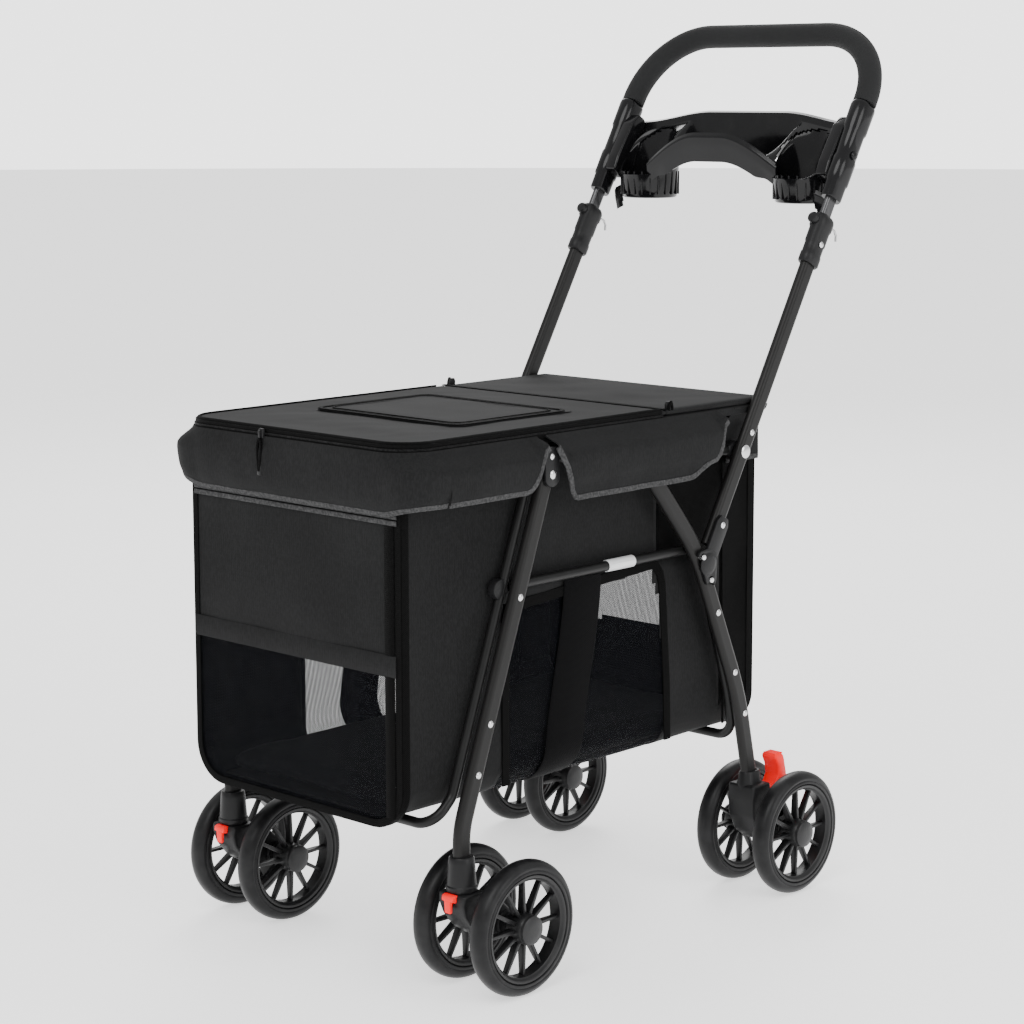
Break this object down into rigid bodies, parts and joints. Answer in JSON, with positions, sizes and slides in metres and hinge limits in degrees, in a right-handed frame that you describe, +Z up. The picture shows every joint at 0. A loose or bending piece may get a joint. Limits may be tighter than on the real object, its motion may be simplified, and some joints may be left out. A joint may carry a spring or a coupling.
{
  "type": "pet stroller",
  "caption": "Folding pet stroller with a lift-off fabric carrier, hinged zip lid with window flap, twin wheels, swivel casters, foot brakes and a height-adjustable handle with cup tray.",
  "frame": {"origin": "on the ground, under the middle of the whole object's box", "axes": "+Z up, -Y towards the stroller's front, +Y towards the handle, +X to the side"},
  "size_m": [0.4986, 0.8507, 1.0577],
  "materials": {
    "tyre": "glossy black",
    "wheel_plastic": "satin",
    "axle_steel": "zinc plated",
    "rivet_steel": "polished",
    "red_plastic": "gloss",
    "black_plastic": "satin",
    "frame_tube": "satin powder coat",
    "white_plastic": "satin",
    "webbing": "woven webbing",
    "grip_foam": "matt foam",
    "tray_plastic": "gloss",
    "board": "matt",
    "cushion": "plush",
    "panel_cloth": "charcoal oxford weave with black mesh windows",
    "top_cloth": "charcoal oxford weave"
  },
  "bodies": {
    "cradle": {"top_rails": "frame_tube", "rail_ends": "black_plastic", "rear_leg_pins": "rivet_steel", "leg_brackets": "black_plastic", "side_bars": "frame_tube", "bar_sleeves": "white_plastic", "front_hoop": "frame_tube", "rear_hoop": "frame_tube", "belly_strap": "webbing"},
    "front_legs": {"front_leg_left": "frame_tube", "front_leg_right": "frame_tube", "front_leg_rivets": "rivet_steel", "caster_sockets": "black_plastic"},
    "rear_legs": {"rear_leg_left": "frame_tube", "rear_leg_right": "frame_tube", "rear_leg_rivets": "rivet_steel", "hook_pins": "rivet_steel", "rear_housings": "black_plastic", "rear_axles": "axle_steel"},
    "handle": {"lower_handle_tube_left": "frame_tube", "lower_handle_tube_right": "frame_tube", "knuckle_plates": "black_plastic", "height_collars": "black_plastic"},
    "upper_handle": {"upper_handle_tube": "frame_tube", "foam_grip": "grip_foam", "handle_tray": "tray_plastic"},
    "carrier": {"side_panel_left": "panel_cloth", "side_panel_right": "panel_cloth", "front_panel": "panel_cloth", "rear_panel": "panel_cloth", "floor_board": "board", "cushion_pad": "cushion", "carrier_rim": "top_cloth", "side_flaps": "top_cloth"},
    "lid": {"lid": "top_cloth"},
    "window": {"window_flap": "top_cloth"},
    "caster_left": {"caster_fork_left": "black_plastic", "axle_front_left": "axle_steel"},
    "latch_left": {"swivel_latch_left": "red_plastic"},
    "pedal_left": {"brake_pedal_left": "red_plastic"},
    "caster_right": {"caster_fork_right": "black_plastic", "axle_front_right": "axle_steel"},
    "latch_right": {"swivel_latch_right": "red_plastic"},
    "pedal_right": {"brake_pedal_right": "red_plastic"},
    "wheel_front_left_inner": {"tyre_front_left_inner": "tyre", "rim_front_left_inner": "wheel_plastic"},
    "wheel_front_left_outer": {"tyre_front_left_outer": "tyre", "rim_front_left_outer": "wheel_plastic"},
    "wheel_front_right_inner": {"tyre_front_right_inner": "tyre", "rim_front_right_inner": "wheel_plastic"},
    "wheel_front_right_outer": {"tyre_front_right_outer": "tyre", "rim_front_right_outer": "wheel_plastic"},
    "wheel_rear_left_inner": {"tyre_rear_left_inner": "tyre", "rim_rear_left_inner": "wheel_plastic"},
    "wheel_rear_left_outer": {"tyre_rear_left_outer": "tyre", "rim_rear_left_outer": "wheel_plastic"},
    "wheel_rear_right_inner": {"tyre_rear_right_inner": "tyre", "rim_rear_right_inner": "wheel_plastic"},
    "wheel_rear_right_outer": {"tyre_rear_right_outer": "tyre", "rim_rear_right_outer": "wheel_plastic"}
  },
  "joints": [
    {"name": "fold", "type": "hinge", "parent": "cradle", "child": "handle", "pos_m": [0, 0.123, 0.547], "axis": [-1, 0, 0], "range_deg": [-100, 0], "deforming": ["side_flaps"]},
    {"name": "front_legs_fold", "type": "hinge", "parent": "cradle", "child": "front_legs", "pos_m": [0, -0.22, 0.558], "axis": [-1, 0, 0], "range_deg": [-22, 0]},
    {"name": "rear_legs_fold", "type": "hinge", "parent": "cradle", "child": "rear_legs", "pos_m": [0, -0.065, 0.562], "axis": [1, 0, 0], "range_deg": [-15, 0]},
    {"name": "handle_height", "type": "slide", "parent": "handle", "child": "upper_handle", "axis": [0, 0.5015, 0.8652], "range_m": [0, 0.1]},
    {"name": "carrier_lift", "type": "slide", "parent": "cradle", "child": "carrier", "axis": [0, 0, 1], "range_m": [0, 0.4]},
    {"name": "lid_hinge", "type": "hinge", "parent": "carrier", "child": "lid", "pos_m": [0, -0.008, 0.6083], "axis": [-1, 0, 0], "range_deg": [0, 110]},
    {"name": "window_hinge", "type": "hinge", "parent": "lid", "child": "window", "pos_m": [0, -0.1, 0.6083], "axis": [-1, 0, 0], "range_deg": [0, 90]},
    {"name": "caster_swivel_left", "type": "hinge", "parent": "front_legs", "child": "caster_left", "pos_m": [-0.189, -0.353, 0.119], "axis": [0, 0, 1], "continuous": true},
    {"name": "swivel_latch_left", "type": "hinge", "parent": "caster_left", "child": "latch_left", "pos_m": [-0.189, -0.371, 0.1145], "axis": [-1, 0, 0], "range_deg": [0, 20]},
    {"name": "brake_pedal_left", "type": "hinge", "parent": "rear_legs", "child": "pedal_left", "pos_m": [-0.189, 0.183, 0.119], "axis": [-1, 0, 0], "range_deg": [0, 25]},
    {"name": "caster_swivel_right", "type": "hinge", "parent": "front_legs", "child": "caster_right", "pos_m": [0.189, -0.353, 0.119], "axis": [0, 0, 1], "continuous": true},
    {"name": "swivel_latch_right", "type": "hinge", "parent": "caster_right", "child": "latch_right", "pos_m": [0.189, -0.371, 0.1145], "axis": [-1, 0, 0], "range_deg": [0, 20]},
    {"name": "brake_pedal_right", "type": "hinge", "parent": "rear_legs", "child": "pedal_right", "pos_m": [0.189, 0.183, 0.119], "axis": [-1, 0, 0], "range_deg": [0, 25]},
    {"name": "wheel_spin_front_left_inner", "type": "hinge", "parent": "caster_left", "child": "wheel_front_left_inner", "pos_m": [-0.1462, -0.304, 0.075], "axis": [1, 0, 0], "continuous": true},
    {"name": "wheel_spin_front_left_outer", "type": "hinge", "parent": "caster_left", "child": "wheel_front_left_outer", "pos_m": [-0.2318, -0.304, 0.075], "axis": [1, 0, 0], "continuous": true},
    {"name": "wheel_spin_front_right_inner", "type": "hinge", "parent": "caster_right", "child": "wheel_front_right_inner", "pos_m": [0.1462, -0.304, 0.075], "axis": [1, 0, 0], "continuous": true},
    {"name": "wheel_spin_front_right_outer", "type": "hinge", "parent": "caster_right", "child": "wheel_front_right_outer", "pos_m": [0.2318, -0.304, 0.075], "axis": [1, 0, 0], "continuous": true},
    {"name": "wheel_spin_rear_left_inner", "type": "hinge", "parent": "rear_legs", "child": "wheel_rear_left_inner", "pos_m": [-0.1462, 0.1815, 0.075], "axis": [1, 0, 0], "continuous": true},
    {"name": "wheel_spin_rear_left_outer", "type": "hinge", "parent": "rear_legs", "child": "wheel_rear_left_outer", "pos_m": [-0.2318, 0.1815, 0.075], "axis": [1, 0, 0], "continuous": true},
    {"name": "wheel_spin_rear_right_inner", "type": "hinge", "parent": "rear_legs", "child": "wheel_rear_right_inner", "pos_m": [0.1462, 0.1815, 0.075], "axis": [1, 0, 0], "continuous": true},
    {"name": "wheel_spin_rear_right_outer", "type": "hinge", "parent": "rear_legs", "child": "wheel_rear_right_outer", "pos_m": [0.2318, 0.1815, 0.075], "axis": [1, 0, 0], "continuous": true}
  ],
  "couplings": [
    {"joint": "front_legs_fold", "follows": "fold", "ratio": 0.22},
    {"joint": "rear_legs_fold", "follows": "fold", "ratio": 0.15}
  ]
}
